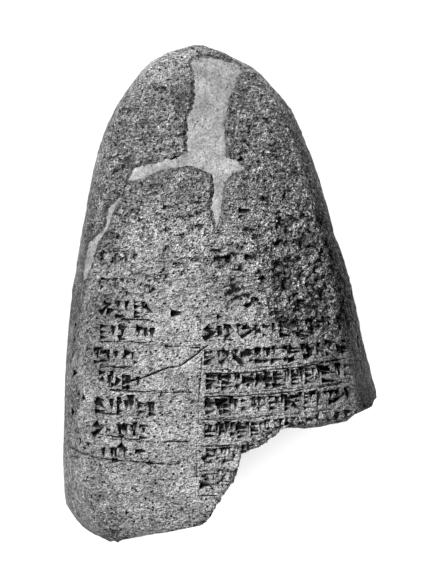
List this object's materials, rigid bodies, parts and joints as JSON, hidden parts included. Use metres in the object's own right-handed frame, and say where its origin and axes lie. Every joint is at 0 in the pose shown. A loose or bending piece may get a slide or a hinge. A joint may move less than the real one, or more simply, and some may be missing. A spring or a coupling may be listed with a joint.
{
  "type": "kudurru",
  "caption": "Broken round-topped boundary stone with rows of wedge strokes in columns, pale plaster repairs in its crown, lying on its dressed back.",
  "frame": {"origin": "middle of the object's box, at the height of the flat bed on its back", "axes": "+Z out of the inscribed face, +Y from the foot to the crown, +X to the right of someone who reads the face"},
  "size_m": [0.24, 0.38, 0.1654],
  "materials": {
    "grey_stone": "matte",
    "pale_plaster": "matte"
  },
  "bodies": {
    "root": {"stone": "grey_stone", "crown_fill": "pale_plaster", "side_fill": "pale_plaster"}
  },
  "joints": []
}
